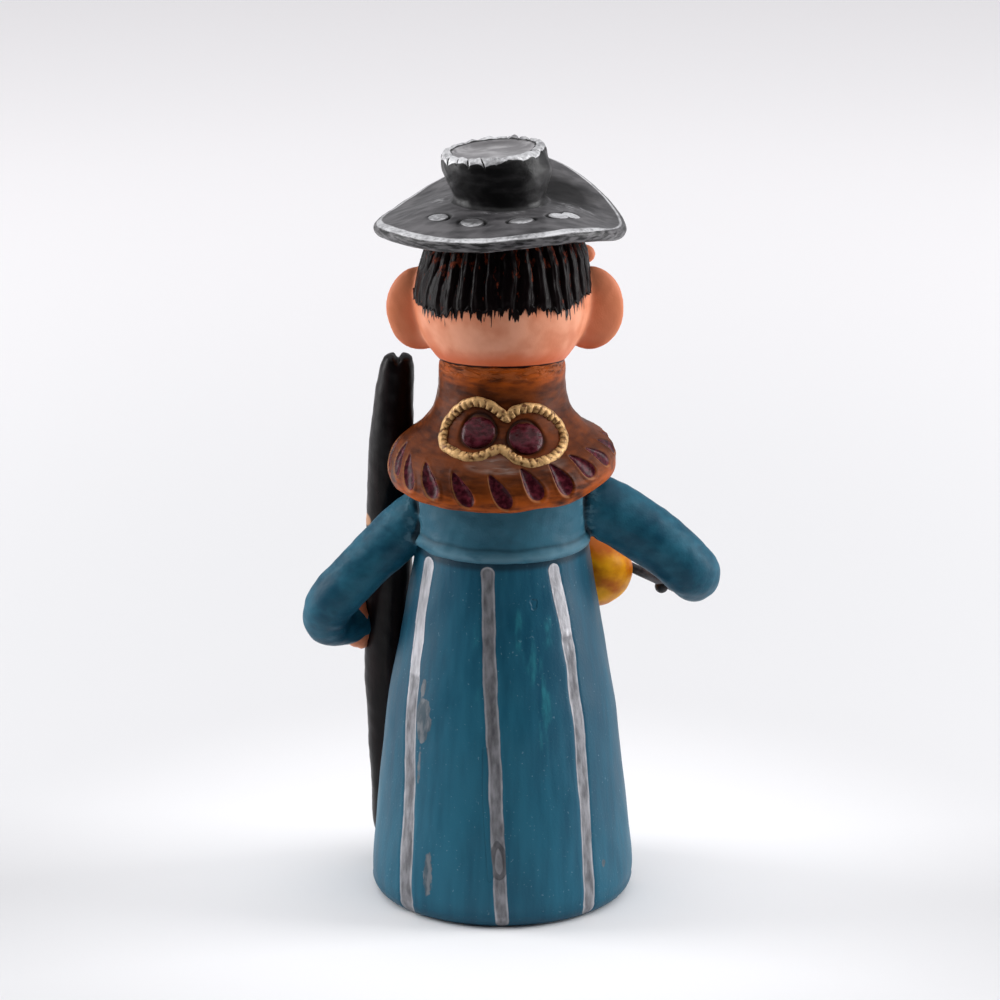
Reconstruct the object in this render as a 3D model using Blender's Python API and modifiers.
"""A hand-modelled clay statuette: a standing man in a striped robe, a shoulder cape and a wide hat.

He faces -Y, his left side is +X, and he stands on Z = 0. A turn is an angle in degrees round the
upright axis, counted from his back (+Y) towards his left (+X). The rolls, balls and slabs of clay
are luted together wet and fired as one body, so they are united into one solid.
"""

import math

import bmesh
import bpy
from mathutils import Matrix, Vector

MM = 0.001

# The robe is a tapered block of clay with a rounded foot.
ROBE_TOP_HEIGHT = 98 * MM
ROBE_TOP_RADIUS = 21.6 * MM
ROBE_FOOT_RADIUS = 34.2 * MM
ROBE_FOOT_ROUND = 4 * MM
ROBE_FLARE = ((0.91, 0.07), (0.77, 0.27), (0.63, 0.49), (0.52, 0.65), (0.35, 0.79), (0.18, 0.93))

# The yoke is a band round the chest that ends in a rolled lip at the waist.
YOKE_TOP_HEIGHT = 114 * MM
YOKE_RADIUS = 22.6 * MM
YOKE_LIP_HEIGHT = 95.4 * MM
YOKE_LIP_RADIUS = 23.4 * MM
YOKE_LIP_RISE = 5 * MM
YOKE_LIP_ROUND = 1 * MM

# The cape is a flared collar.
CAPE_NECK_HEIGHT = 144 * MM
CAPE_NECK_RADIUS = 16.3 * MM
CAPE_HEM_HEIGHT = 110.4 * MM
CAPE_HEM_RADIUS = 29.2 * MM
CAPE_NECK_ROUND = 1.4 * MM
CAPE_HEM_ROUND = 2 * MM
CAPE_FLARE = (
    (0.83, 0.0), (0.70, 0.03), (0.58, 0.15), (0.45, 0.45), (0.32, 0.79), (0.24, 0.92), (0.17, 0.98),
)
SLASH_COUNT = 21
SLASH_FIRST_TURN = 2
SLASH_ABOVE_HEM = 7 * MM
SLASH_LENGTH = 10.4 * MM
SLASH_WIDTH = 3.2 * MM
SLASH_DEPTH = 1.0 * MM
SLASH_TILT = 30

# A gold cord in a figure of eight runs round two medallions on the back of the cape.
CORD_THICKNESS = 2.2 * MM
LOBE_TURN = 20
LOBE_HALF_TURN = 27
LOBE_HALF_HEIGHT = 5.7 * MM
LOBE_LEVEL = 0.565
LOBE_STEP = 0.6 * MM
MEDALLION_TURN = 18.2
MEDALLION_DIAMETER = 8.8 * MM
MEDALLION_RISE = 0.9 * MM

# The head is a ball with pinched ears.
HEAD_RADIUS = 22.5 * MM
HEAD_HEIGHT = 160 * MM
EAR_SIZE = (17.5 * MM, 6.5 * MM, 22 * MM)
EAR_SPREADS = {"left": 20.9 * MM, "right": 22.5 * MM}
EAR_DROP = 3.2 * MM
EAR_FORWARD = 1 * MM
EAR_HOLLOW_SIZE = (7 * MM, 4 * MM, 12 * MM)
EAR_HOLLOW_OUT = 3.2 * MM
EAR_HOLLOW_FORWARD = 3.6 * MM
LUMP_SIZE = (7 * MM, 4 * MM, 5.5 * MM)
LUMP_PLACE = (-20.6, -8, 169.2)

# Combed hair covers the ball from the hat down to a ragged edge.
HAIR_RADIUS = 23 * MM
HAIR_OUTLINE = ((0.4, 1.04), (0.84, 0.8), (0.95, 0.54), (1.0, 0.2), (1.0, -0.2))
HAIR_RINGS = (0.8, 0.4, 0.15, 0)
HAIR_GROOVES = 40
HAIR_GROOVE_DEPTH = 0.7 * MM
HAIR_EDGE_BACK = 160 * MM
HAIR_EDGE_FRONT = 172 * MM
HAIR_RAGGED = 0.9 * MM

# The hat has a waved brim with a rolled rim, and a crown that flares to a crimped ring.
BRIM_RADIUS = 32.2 * MM
BRIM_SHIFT = 0.5 * MM
BRIM_THICKNESS = 3 * MM
BRIM_EDGE_HEIGHT = 181.6 * MM
BRIM_SLOPE = ((14 * MM, 0.01), (20 * MM, 0.09), (26 * MM, 0.36))
BRIM_WAVES = ((1, 2.5 * MM, -159), (2, 3.5 * MM, 6), (3, 1.7 * MM, -47))
RIM_RADIUS = 1.8 * MM
CROWN_FOOT_HEIGHT = 185 * MM
CROWN_FOOT_RADIUS = 11.6 * MM
CROWN_HEIGHT = 13.8 * MM
CROWN_TOP_RADIUS = 13.3 * MM
CROWN_LEAN = 1.8 * MM
CROWN_TILT = 5
CROWN_RING_WIDTH = 3.4 * MM
CROWN_RING_HEIGHT = 4 * MM
CROWN_DISH = 1.8 * MM
CRIMP_COUNT = 20
CRIMP_SIZE = (4 * MM, 0.9 * MM, 2.2 * MM)
COIN_TURNS = (50, 20, -15, -47, -59)
COIN_DIAMETER = 6.4 * MM
COIN_REACH = 20.2 * MM
COIN_DEPTH = 0.5 * MM

# Each arm is one bent roll of clay: points of its middle line with the roll's radius there.
ARM_ROLLS = {
    "left": (
        (14, 0, 106.4, 7.4), (23.8, 0, 99.4, 7.1), (31.2, 0.5, 92.4, 6.7), (38.8, 0.5, 84.6, 6.5),
        (44.8, -1.5, 77, 6.4), (45.4, -7.5, 70.4, 6.3), (41.2, -13.5, 67.6, 5.8), (38.5, -16.5, 67, 5.2),
    ),
    "right": (
        (-15, 0, 108, 8.0), (-25, 0, 104, 8.2), (-33.4, 0, 99.4, 8.1), (-41.6, 0, 93.6, 7.8),
        (-48.8, -1, 86.6, 7.2), (-50, -7, 82.8, 6.6), (-48.5, -13.5, 81.4, 6.0), (-47, -17.5, 80.4, 5.4),
    ),
}

# The staff stands in the left hand, pressed against the cape and the robe.
STAFF_ROLL = (
    (30.4, -21, 6, 2.4), (30.2, -20.9, 8, 4.0), (29.9, -20.4, 16, 5.0), (29.8, -19.4, 34, 5.7),
    (30.2, -18.4, 52, 6.1), (30.3, -17.4, 70, 6.0), (29.7, -16.2, 90, 5.8), (29.2, -14.8, 112, 5.8),
    (28.2, -13.8, 128, 5.2), (27.0, -13.2, 137, 4.1), (26.8, -13.0, 141, 3.2),
)
STAFF_NOTCH = 1.6 * MM

# The gourd is pressed against the robe, and its stick runs to the right hand.
GOURD_RADIUS = 10 * MM
GOURD_PLACE = (-24.2, -20, 80.8)
STICK_DIAMETER = 2.6 * MM
STICK_ENDS = ((-30, -21, 82.7), (-50, -24, 72.2))
KNOB_DIAMETER = 3.6 * MM
KNOB_PLACE = (-42.2, -23, 74.8)

# Both hands are closed: a palm, four fingers round what is held and a thumb over them.
# Each finger is pressed a little into the next, and the palm is as long as the four of them.
PALM_THICKNESS = 8.5 * MM
PALM_WIDTH = 9.5 * MM
PALM_ENDS = 0.5 * MM
FINGER_DIAMETER = 3.8 * MM
FINGER_PRESS = 0.3 * MM
THUMB_PRESS = 0.49 * MM
LEFT_GRIP_HEIGHT = 66 * MM
RIGHT_GRIP_SHARE = 0.9
RIGHT_GRIP_RISE = 3 * MM

# The face is calm, on plain proportions: places on the ball as a turn from the front and a height.
EYE_TURN = 20
EYE_HEIGHT = 161 * MM
EYE_SIZE = (7.2 * MM, 1.5 * MM, 3.8 * MM)
BROW_HEIGHT = 166.2 * MM
BROW_SIZE = (8.6 * MM, 1.1 * MM, 1.8 * MM)
NOSE_HEIGHT = 156.4 * MM
NOSE_SIZE = (3.6 * MM, 2.4 * MM, 11 * MM)
NOSE_TIP_HEIGHT = 153.2 * MM
NOSE_TIP_SIZE = (5.6 * MM, 3.8 * MM, 4.8 * MM)
MOUTH_HEIGHT = 148.6 * MM
LIP_SIZE = (8.4 * MM, 1.2 * MM, 2 * MM)

# How far one form sinks into the next.
OVERLAP = 1 * MM

ROUND_STEPS = 36
CORD_STEPS = 18

# Turns a ball so that its poles lie along X, which gives a stamp two pointed ends.
LONG_WAY = Matrix.Rotation(math.pi / 2, 4, "Y")


def colour_of(name, colour, roughness, metallic=0.0):
    """A plain surface material."""
    material = bpy.data.materials.new(name)
    material.use_nodes = True
    surface = material.node_tree.nodes["Principled BSDF"]
    surface.inputs["Base Color"].default_value = (*colour, 1.0)
    surface.inputs["Roughness"].default_value = roughness
    surface.inputs["Metallic"].default_value = metallic
    material.diffuse_color = (*colour, 1.0)
    return material


def mm(values):
    return Vector(values) * MM


def around(turn, radius, height):
    """The point at a turn from the figure's back."""
    angle = math.radians(turn)
    return Vector((radius * math.sin(angle), radius * math.cos(angle), height))


def turn_of(point):
    return math.degrees(math.atan2(point.x, point.y))


def smooth(points, steps):
    """A Catmull-Rom curve through the points, with the given number of steps to each span."""
    rows = [tuple(point) for point in points]
    rows = [rows[0]] + rows + [rows[-1]]
    curve = []
    for knots in zip(rows, rows[1:], rows[2:], rows[3:]):
        for step in range(steps):
            t = step / steps
            point = []
            for a, b, c, d in zip(*knots):
                square = 2 * a - 5 * b + 4 * c - d
                cube = 3 * b - a - 3 * c + d
                point.append(b + ((c - a) * t + square * t ** 2 + cube * t ** 3) / 2)
            curve.append(tuple(point))
    curve.append(rows[-1])
    return curve


def ease(low, high, value):
    """A smooth step from 0 to 1 between two limits."""
    share = min(1.0, max(0.0, (value - low) / (high - low)))
    return share * share * (3 - 2 * share)


def profile_at(profile, height):
    """The outer radius of a turned profile of (radius, height) points, and its slope, at a height."""
    for (radius_a, height_a), (radius_b, height_b) in zip(profile, profile[1:]):
        if height_b <= height <= height_a:
            slope = (radius_b - radius_a) / (height_b - height_a)
            return radius_a + slope * (height - height_a), slope
    raise ValueError("the height is off the profile")


def take_mesh(subject):
    """The evaluated mesh of an object in world space, with its caps welded. The object is removed."""
    bpy.context.view_layer.update()
    evaluated = subject.evaluated_get(bpy.context.evaluated_depsgraph_get())
    mesh = bpy.data.meshes.new_from_object(evaluated)
    mesh.transform(subject.matrix_world)
    bpy.data.objects.remove(subject)
    cage = bmesh.new()
    cage.from_mesh(mesh)
    bmesh.ops.remove_doubles(cage, verts=cage.verts, dist=0.00001)
    bmesh.ops.recalc_face_normals(cage, faces=cage.faces)
    cage.to_mesh(mesh)
    cage.free()
    return mesh


def placed(name, mesh, material, collection, shown=False):
    """An object for a mesh. What is not shown is a form to be joined or a mark to be cut."""
    mesh.name = name
    mesh.shade_smooth()
    mesh.set_sharp_from_angle(angle=math.radians(45))
    mesh.materials.clear()
    mesh.materials.append(material)
    subject = bpy.data.objects.new(name, mesh)
    collection.objects.link(subject)
    if not shown:
        subject.hide_render = True
        subject.display_type = "WIRE"
    return subject


def turned(profile, steps=ROUND_STEPS):
    """A solid turned from a profile of (radius, height) points, top to bottom."""
    mesh = bpy.data.meshes.new("profile")
    edges = [(index, index + 1) for index in range(len(profile) - 1)]
    mesh.from_pydata([(radius, 0, height) for radius, height in profile], edges, [])
    subject = bpy.data.objects.new("profile", mesh)
    bpy.context.scene.collection.objects.link(subject)
    screw = subject.modifiers.new("turn", "SCREW")
    screw.steps = steps
    screw.render_steps = steps
    screw.use_merge_vertices = True
    screw.merge_threshold = 0.00001
    return take_mesh(subject)


def rolled(points, sides=2, closed=False):
    """A roll of clay along a smooth line. Each point is x, y, z and the roll's radius, in metres."""
    curve = bpy.data.curves.new("roll", "CURVE")
    curve.dimensions = "3D"
    curve.bevel_depth = 1.0
    curve.bevel_resolution = sides
    curve.use_fill_caps = True
    spline = curve.splines.new("POLY")
    spline.points.add(len(points) - 1)
    for knot, (x, y, z, radius) in zip(spline.points, points):
        knot.co = (x, y, z, 1)
        knot.radius = radius
    spline.use_cyclic_u = closed
    subject = bpy.data.objects.new("roll", curve)
    bpy.context.scene.collection.objects.link(subject)
    return take_mesh(subject)


def ball(size, frame, segments=16, rings=10):
    """A ball pressed to a size, in the place and direction that a matrix gives."""
    cage = bmesh.new()
    bmesh.ops.create_uvsphere(cage, u_segments=segments, v_segments=rings, radius=0.5)
    bmesh.ops.transform(cage, matrix=frame @ Matrix.Diagonal((*size, 1)), verts=cage.verts)
    mesh = bpy.data.meshes.new("ball")
    cage.to_mesh(mesh)
    cage.free()
    return mesh


def frame_at(place, along, outward):
    """A matrix whose X runs along a direction and whose Z points out of the surface."""
    z = outward.normalized()
    y = z.cross(along).normalized()
    x = y.cross(z)
    frame = Matrix((x, y, z)).transposed().to_4x4()
    frame.translation = place
    return frame


def surface_frame(profile, turn, height, tilt=0):
    """A matrix on a turned surface. Its X runs down the slope, tilted towards a smaller turn."""
    radius, slope = profile_at(profile, height)
    outward = around(turn, 1, -slope)
    down = around(turn, -slope, -1).normalized()
    sideways = around(turn + 90, 1, 0)
    lean = math.radians(tilt)
    along = down * math.cos(lean) - sideways * math.sin(lean)
    return frame_at(around(turn, radius, height), along, outward)


def robe_profile():
    rise = ROBE_TOP_HEIGHT
    flare = ROBE_FOOT_RADIUS - ROBE_TOP_RADIUS
    side = [(ROBE_TOP_RADIUS, rise)]
    side += [(ROBE_TOP_RADIUS + share * flare, level * rise) for level, share in ROBE_FLARE]
    side.append((ROBE_FOOT_RADIUS, 2 * ROBE_FOOT_ROUND))
    foot = [
        (
            ROBE_FOOT_RADIUS - ROBE_FOOT_ROUND * (1 - math.cos(math.radians(angle))),
            ROBE_FOOT_ROUND * (1 - math.sin(math.radians(angle))),
        )
        for angle in (0, 45, 90)
    ]
    return side + foot


def robe_solid(profile):
    return turned([(0, ROBE_TOP_HEIGHT)] + profile + [(0, 0)])


def yoke_solid():
    side = [
        (YOKE_RADIUS, YOKE_TOP_HEIGHT),
        (YOKE_RADIUS, YOKE_LIP_HEIGHT + YOKE_LIP_RISE),
        (YOKE_LIP_RADIUS, YOKE_LIP_HEIGHT + YOKE_LIP_ROUND),
        (YOKE_LIP_RADIUS, YOKE_LIP_HEIGHT - 0.6 * YOKE_LIP_ROUND),
        (ROBE_TOP_RADIUS - OVERLAP, YOKE_LIP_HEIGHT - 1.8 * YOKE_LIP_ROUND),
    ]
    return turned([(0, YOKE_TOP_HEIGHT)] + side + [(0, side[-1][1])])


def cape_profile():
    rise = CAPE_NECK_HEIGHT - CAPE_HEM_HEIGHT
    flare = CAPE_HEM_RADIUS - CAPE_NECK_RADIUS
    side = [
        (CAPE_NECK_RADIUS - CAPE_NECK_ROUND, CAPE_NECK_HEIGHT),
        (CAPE_NECK_RADIUS, CAPE_NECK_HEIGHT - CAPE_NECK_ROUND),
    ]
    for level, share in CAPE_FLARE:
        side.append((CAPE_NECK_RADIUS + share * flare, CAPE_HEM_HEIGHT + level * rise))
    side += [
        (CAPE_HEM_RADIUS, CAPE_HEM_HEIGHT + 1.3 * CAPE_HEM_ROUND),
        (CAPE_HEM_RADIUS - 0.3 * CAPE_HEM_ROUND, CAPE_HEM_HEIGHT + 0.4 * CAPE_HEM_ROUND),
        (CAPE_HEM_RADIUS - CAPE_HEM_ROUND, CAPE_HEM_HEIGHT),
    ]
    return side


def cape_solid(profile):
    inside = (YOKE_RADIUS - OVERLAP, CAPE_HEM_HEIGHT + 0.8 * CAPE_HEM_ROUND)
    return turned([(0, CAPE_NECK_HEIGHT)] + profile + [inside, (0, inside[1])], 40)


def slash_marks(profile):
    """Almond-shaped stamps round the hem, all slanted the same way."""
    marks = []
    for number in range(SLASH_COUNT):
        turn = SLASH_FIRST_TURN + number * 360 / SLASH_COUNT
        frame = surface_frame(profile, turn, CAPE_HEM_HEIGHT + SLASH_ABOVE_HEM, SLASH_TILT) @ LONG_WAY
        marks.append(ball((2 * SLASH_DEPTH, SLASH_WIDTH, SLASH_LENGTH), frame, 6, 6))
    return marks


def lobe_height(side):
    """Height of a lobe's middle on the cape: the left one sits a little higher than the right one."""
    return CAPE_HEM_HEIGHT + LOBE_LEVEL * (CAPE_NECK_HEIGHT - CAPE_HEM_HEIGHT) + side * LOBE_STEP


def cord_line():
    """Turns and heights along the figure of eight: the outer parts of two overlapping ovals."""
    overlap = math.degrees(math.acos(LOBE_TURN / LOBE_HALF_TURN))
    line = []
    for side in (1, -1):
        for step in range(CORD_STEPS):
            angle = math.radians(180 - overlap - step * (360 - 2 * overlap) / CORD_STEPS)
            turn = side * (LOBE_TURN + LOBE_HALF_TURN * math.cos(angle))
            height = lobe_height(side) + side * LOBE_HALF_HEIGHT * math.sin(angle)
            line.append((turn, height))
    return line


def cord_solid(profile):
    radius = CORD_THICKNESS / 2
    points = []
    for turn, height in cord_line():
        reach = profile_at(profile, height)[0]
        points.append((*around(turn, reach + 0.2 * radius, height), radius))
    return rolled(points, sides=1, closed=True)


def medallion_solids(profile):
    size = (MEDALLION_DIAMETER, MEDALLION_DIAMETER, 2 * MEDALLION_RISE)
    return [
        ball(size, surface_frame(profile, side * MEDALLION_TURN, lobe_height(side)), 12, 6)
        for side in (1, -1)
    ]


def head_solid():
    return ball((2 * HEAD_RADIUS,) * 3, Matrix.Translation((0, 0, HEAD_HEIGHT)), 26, 14)


def ear_solids():
    """The ears, and a small lump of clay over the right one."""
    solids = []
    for side, spread in EAR_SPREADS.items():
        sign = 1 if side == "left" else -1
        place = Matrix.Translation((sign * spread, -EAR_FORWARD, HEAD_HEIGHT - EAR_DROP))
        solids.append(ball(EAR_SIZE, place, 12, 6))
    solids.append(ball(LUMP_SIZE, Matrix.Translation(mm(LUMP_PLACE)), 8, 6))
    return solids


def ear_hollows():
    """The dished front of each ear."""
    marks = []
    for side, spread in EAR_SPREADS.items():
        sign = 1 if side == "left" else -1
        out = sign * (spread + EAR_HOLLOW_OUT)
        place = Matrix.Translation((out, -EAR_FORWARD - EAR_HOLLOW_FORWARD, HEAD_HEIGHT - EAR_DROP))
        marks.append(ball(EAR_HOLLOW_SIZE, place, 10, 6))
    return marks


def hair_edge(turn):
    """Height of the hair's lower edge: low and ragged behind, and high over the forehead."""
    front = ease(75, 125, abs(turn))
    ragged = HAIR_RAGGED * (math.sin(math.radians(turn * 17)) + math.sin(math.radians(turn * 29 + 40))) / 2
    return HAIR_EDGE_BACK + front * (HAIR_EDGE_FRONT - HAIR_EDGE_BACK) + ragged


def hair_solid():
    """A cap over the ball, with a comb's grooves running down it to the ragged edge."""
    outline = [(reach * HAIR_RADIUS, level * HAIR_RADIUS) for reach, level in HAIR_OUTLINE]
    top = outline[0][1]
    outside = [(HAIR_RADIUS, share * top) for share in HAIR_RINGS]
    mesh = turned([(0, top)] + outside + [(0.8 * HAIR_RADIUS, 0), (0, 0)], 2 * HAIR_GROOVES)
    for vertex in mesh.vertices:
        turn = turn_of(vertex.co)
        reach = vertex.co.to_2d().length
        edge = hair_edge(turn if reach > 0 else 0) - HEAD_HEIGHT
        vertex.co.z = edge + vertex.co.z / top * (top - edge)
        if reach > 0.9 * HAIR_RADIUS:
            depth = HAIR_GROOVE_DEPTH * (0.5 + 0.5 * math.cos(math.radians(turn * HAIR_GROOVES)))
            radius = profile_at(outline, vertex.co.z)[0]
            vertex.co = around(turn, radius - depth, vertex.co.z)
    mesh.transform(Matrix.Translation((0, 0, HEAD_HEIGHT)))
    return mesh


def brim_wave(turn, reach):
    """How far the brim is lifted or dropped at a turn. It grows from the crown to the rim."""
    lift = sum(size * math.cos(count * math.radians(turn - crest)) for count, size, crest in BRIM_WAVES)
    return lift * ease(CROWN_FOOT_RADIUS, BRIM_RADIUS - RIM_RADIUS, reach)


def hat_profile():
    top = CROWN_FOOT_HEIGHT + CROWN_HEIGHT
    ring = CROWN_TOP_RADIUS - CROWN_RING_WIDTH
    crown = [
        (0, top - CROWN_DISH),
        (ring - 0.3 * CROWN_DISH, top - 0.9 * CROWN_DISH),
        (ring + 0.2 * CROWN_DISH, top - 0.2 * CROWN_DISH),
        (CROWN_TOP_RADIUS - 0.4 * CROWN_RING_WIDTH, top),
        (CROWN_TOP_RADIUS, top - 0.3 * CROWN_RING_HEIGHT),
        (CROWN_TOP_RADIUS, top - CROWN_RING_HEIGHT),
        ((CROWN_FOOT_RADIUS + CROWN_TOP_RADIUS) / 2, CROWN_FOOT_HEIGHT + 0.3 * CROWN_HEIGHT),
        (CROWN_FOOT_RADIUS, CROWN_FOOT_HEIGHT + 0.05 * CROWN_HEIGHT),
    ]
    drop = CROWN_FOOT_HEIGHT - BRIM_EDGE_HEIGHT
    slope = [(reach, CROWN_FOOT_HEIGHT - share * drop) for reach, share in BRIM_SLOPE]
    centre = BRIM_RADIUS - RIM_RADIUS
    rim = [
        (
            centre + RIM_RADIUS * math.cos(math.radians(angle)),
            BRIM_EDGE_HEIGHT + RIM_RADIUS * math.sin(math.radians(angle)),
        )
        for angle in (115, 55, -5, -60, -110)
    ]
    under = [(reach, height - BRIM_THICKNESS) for reach, height in reversed(slope)]
    return crown + slope + rim + under + [(0, CROWN_FOOT_HEIGHT - BRIM_THICKNESS)]


def hat_solid():
    mesh = turned(hat_profile())
    for vertex in mesh.vertices:
        reach = vertex.co.to_2d().length
        vertex.co.z += brim_wave(turn_of(vertex.co), reach)
        vertex.co.x += BRIM_SHIFT
        if vertex.co.z > CROWN_FOOT_HEIGHT and reach < BRIM_SLOPE[0][0]:
            vertex.co = lean_crown(vertex.co)
    return mesh


def lean_crown(place):
    """Where a point of the upright crown lies once the crown leans and its top tilts."""
    share = ease(CROWN_FOOT_HEIGHT, CROWN_FOOT_HEIGHT + CROWN_HEIGHT, place.z)
    return place + Vector((CROWN_LEAN, 0, -place.x * math.tan(math.radians(CROWN_TILT)))) * share


def crimp_marks():
    """Knife cuts across the ring on the crown."""
    marks = []
    top = CROWN_FOOT_HEIGHT + CROWN_HEIGHT
    for number in range(CRIMP_COUNT):
        turn = number * 360 / CRIMP_COUNT
        reach = CROWN_TOP_RADIUS - 0.1 * CRIMP_SIZE[0]
        place = lean_crown(around(turn, reach, top + 0.15 * CRIMP_SIZE[2])) + Vector((BRIM_SHIFT, 0, 0))
        frame = frame_at(place, around(turn, 1, -0.5), around(turn, 0.5, 1))
        marks.append(ball(CRIMP_SIZE, frame, 6, 3))
    return marks


def coin_marks():
    """Round stamps on the back of the brim. The last two overlap."""
    marks = []
    (inner, inner_share), (outer, outer_share) = BRIM_SLOPE[1:]
    drop = CROWN_FOOT_HEIGHT - BRIM_EDGE_HEIGHT
    slope = (inner_share - outer_share) * drop / (outer - inner)
    flat = CROWN_FOOT_HEIGHT - inner_share * drop + (COIN_REACH - inner) * slope
    for turn in COIN_TURNS:
        place = around(turn, COIN_REACH, flat + brim_wave(turn, COIN_REACH)) + Vector((BRIM_SHIFT, 0, 0))
        frame = frame_at(place, around(turn, 1, slope / 2), around(turn, -slope / 2, 1))
        marks.append(ball((COIN_DIAMETER, COIN_DIAMETER, 2 * COIN_DEPTH), frame, 12, 4))
    return marks


def arm_solid(side):
    points = [(*mm(point[:3]), point[3] * MM) for point in ARM_ROLLS[side]]
    return rolled(smooth(points, 2), sides=3)


def staff_point(height):
    """The middle of the staff, and its radius, at a height."""
    points = [[value * MM for value in point] for point in STAFF_ROLL]
    for low, high in zip(points, points[1:]):
        if low[2] <= height <= high[2]:
            share = (height - low[2]) / (high[2] - low[2])
            return [a + share * (b - a) for a, b in zip(low, high)]
    raise ValueError("the height is off the staff")


def staff_solid():
    points = [[value * MM for value in point] for point in STAFF_ROLL]
    return rolled(points, sides=3)


def staff_notch():
    """The cut that parts the staff's top into two lobes."""
    x, y, z, radius = [value * MM for value in STAFF_ROLL[-1]]
    return ball((2 * STAFF_NOTCH, 4 * radius, 2 * STAFF_NOTCH), Matrix.Translation((x, y, z)), 8, 6)


def gourd_solid():
    return ball((2 * GOURD_RADIUS,) * 3, Matrix.Translation(mm(GOURD_PLACE)), 14, 8)


def stick_solid():
    return rolled([(*mm(end), STICK_DIAMETER / 2) for end in STICK_ENDS], sides=2)


def knob_solid():
    return ball((KNOB_DIAMETER,) * 3, Matrix.Translation(mm(KNOB_PLACE)), 8, 5)


def hand_solids(place, along, palm_side, finger_side, held_radius, finger_bend):
    """A closed hand round something held: a palm, four fingers that go round it and a thumb."""
    along = along.normalized()
    palm_side = (palm_side - along * palm_side.dot(along)).normalized()
    finger_side = (finger_side - along * finger_side.dot(along)).normalized()
    pitch = FINGER_DIAMETER - FINGER_PRESS
    thumb_diameter = 1.1 * FINGER_DIAMETER
    thumb_offset = 1.5 * pitch + (FINGER_DIAMETER + thumb_diameter) / 2 - THUMB_PRESS
    palm = frame_at(place + palm_side * (held_radius + 0.25 * PALM_THICKNESS), palm_side, finger_side)
    solids = [ball((PALM_THICKNESS, 4 * pitch + PALM_ENDS, PALM_WIDTH), palm, 8, 6)]
    reach = held_radius + 0.3 * FINGER_DIAMETER

    def digit(offset, bends, bend, thickness):
        line = []
        for step in range(bends + 1):
            angle = math.radians(step * bend)
            outward = palm_side * math.cos(angle) + finger_side * math.sin(angle)
            spot = place + along * offset + outward * reach
            line.append((*spot, thickness / 2 * (0.8 if step == bends else 1)))
        return rolled(line, sides=1)

    solids += [digit((finger - 1.5) * pitch, 4, finger_bend, FINGER_DIAMETER) for finger in range(4)]
    solids.append(digit(thumb_offset, 2, finger_bend, thumb_diameter))
    return solids


def left_hand_solids():
    x, y, z, radius = staff_point(LEFT_GRIP_HEIGHT)
    sides = Vector((1, 0.3, 0)), Vector((0, -1, 0))
    return hand_solids(Vector((x, y, z)), Vector((0, 0, 1)), *sides, radius, 50)


def right_hand_solids():
    start, end = mm(STICK_ENDS[0]), mm(STICK_ENDS[1])
    sides = Vector((0, 0.7, 0.7)), Vector((0, -0.7, 0.7))
    place = start.lerp(end, RIGHT_GRIP_SHARE) + Vector((0, 0, RIGHT_GRIP_RISE))
    return hand_solids(place, start - end, *sides, STICK_DIAMETER / 2, 42)


def on_face(turn_from_front, height, size):
    """A ball of clay pressed on the face, its width level and its depth facing out."""
    drop = height - HEAD_HEIGHT
    reach = math.sqrt(HEAD_RADIUS ** 2 - drop ** 2)
    turn = 180 + turn_from_front
    frame = frame_at(around(turn, reach, height), around(turn + 90, 1, 0), around(turn, reach, drop))
    return ball((size[0], size[2], 2 * size[1]), frame, 10, 6)


def eye_solids():
    return [on_face(side * EYE_TURN, EYE_HEIGHT, EYE_SIZE) for side in (1, -1)]


def brow_solids():
    return [on_face(side * EYE_TURN, BROW_HEIGHT, BROW_SIZE) for side in (1, -1)]


def nose_solids():
    return [on_face(0, NOSE_HEIGHT, NOSE_SIZE), on_face(0, NOSE_TIP_HEIGHT, NOSE_TIP_SIZE)]


def lip_solids():
    lower = tuple(0.85 * value for value in LIP_SIZE)
    return [on_face(0, MOUTH_HEIGHT, LIP_SIZE), on_face(0, MOUTH_HEIGHT - 0.85 * LIP_SIZE[2], lower)]


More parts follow.
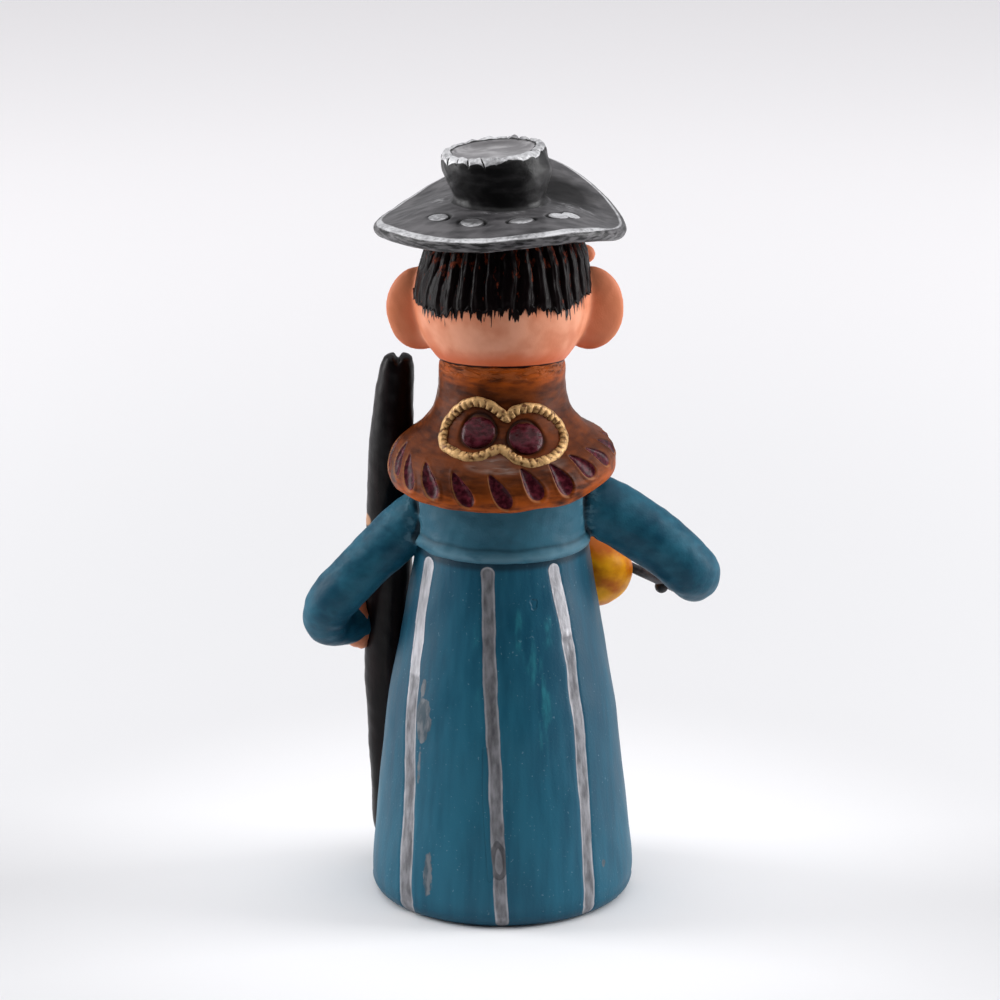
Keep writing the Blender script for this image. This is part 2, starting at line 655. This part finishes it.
def build():
    for subject in list(bpy.data.objects):
        bpy.data.objects.remove(subject)
    statuette = bpy.data.collections.new("Clay statuette")
    clay_forms = bpy.data.collections.new("Clay forms")
    tool_marks = bpy.data.collections.new("Tool marks")
    for collection in (statuette, clay_forms, tool_marks):
        bpy.context.scene.collection.children.link(collection)

    teal = colour_of("teal_paint", (0.012, 0.072, 0.122), 0.55)
    silver = colour_of("silver_paint", (0.30, 0.30, 0.31), 0.42, 0.3)
    brown = colour_of("brown_paint", (0.11, 0.037, 0.012), 0.5)
    maroon = colour_of("maroon_paint", (0.065, 0.012, 0.018), 0.3)
    gold = colour_of("gold_paint", (0.46, 0.28, 0.12), 0.38, 0.5)
    skin = colour_of("skin_paint", (0.55, 0.21, 0.12), 0.5)
    black = colour_of("black_gloss_paint", (0.010, 0.004, 0.004), 0.25)
    charcoal = colour_of("charcoal_paint", (0.045, 0.044, 0.045), 0.4)
    yellow = colour_of("yellow_paint", (0.50, 0.19, 0.012), 0.45)

    robe = robe_profile()
    cape = cape_profile()
    forms = {
        "yoke": ([yoke_solid()], teal),
        "cape": ([cape_solid(cape)], brown),
        "cord": ([cord_solid(cape)], gold),
        "medallion": (medallion_solids(cape), maroon),
        "arm": ([arm_solid("left"), arm_solid("right")], teal),
        "head": ([head_solid()], skin),
        "ear": (ear_solids(), skin),
        "eye": (eye_solids(), skin),
        "brow": (brow_solids(), black),
        "nose": (nose_solids(), skin),
        "lip": (lip_solids(), skin),
        "hair": ([hair_solid()], black),
        "hat": ([hat_solid()], charcoal),
        "staff": ([staff_solid()], black),
        "left_hand": (left_hand_solids(), skin),
        "gourd": ([gourd_solid()], yellow),
        "stick": ([stick_solid()], charcoal),
        "knob": ([knob_solid()], charcoal),
        "right_hand": (right_hand_solids(), skin),
    }
    marks = {
        "slash": (slash_marks(cape), maroon),
        "crimp": (crimp_marks(), silver),
        "coin": (coin_marks(), silver),
        "notch": ([staff_notch()], black),
        "ear_hollow": (ear_hollows(), skin),
    }
    for group, collection in ((forms, clay_forms), (marks, tool_marks)):
        for name, (meshes, material) in group.items():
            for number, mesh in enumerate(meshes, 1):
                placed(f"{name}_{number}", mesh, material, collection)

    figure = placed("clay_figure", robe_solid(robe), teal, statuette, shown=True)
    for name, operation, collection in (("lute", "UNION", clay_forms), ("mark", "DIFFERENCE", tool_marks)):
        joint = figure.modifiers.new(name, "BOOLEAN")
        joint.operation = operation
        joint.operand_type = "COLLECTION"
        joint.collection = collection
        joint.solver = "EXACT"
        joint.material_mode = "TRANSFER"
    flat = figure.modifiers.new("merge flat facets", "DECIMATE")
    flat.decimate_type = "DISSOLVE"
    flat.angle_limit = math.radians(4)


build()
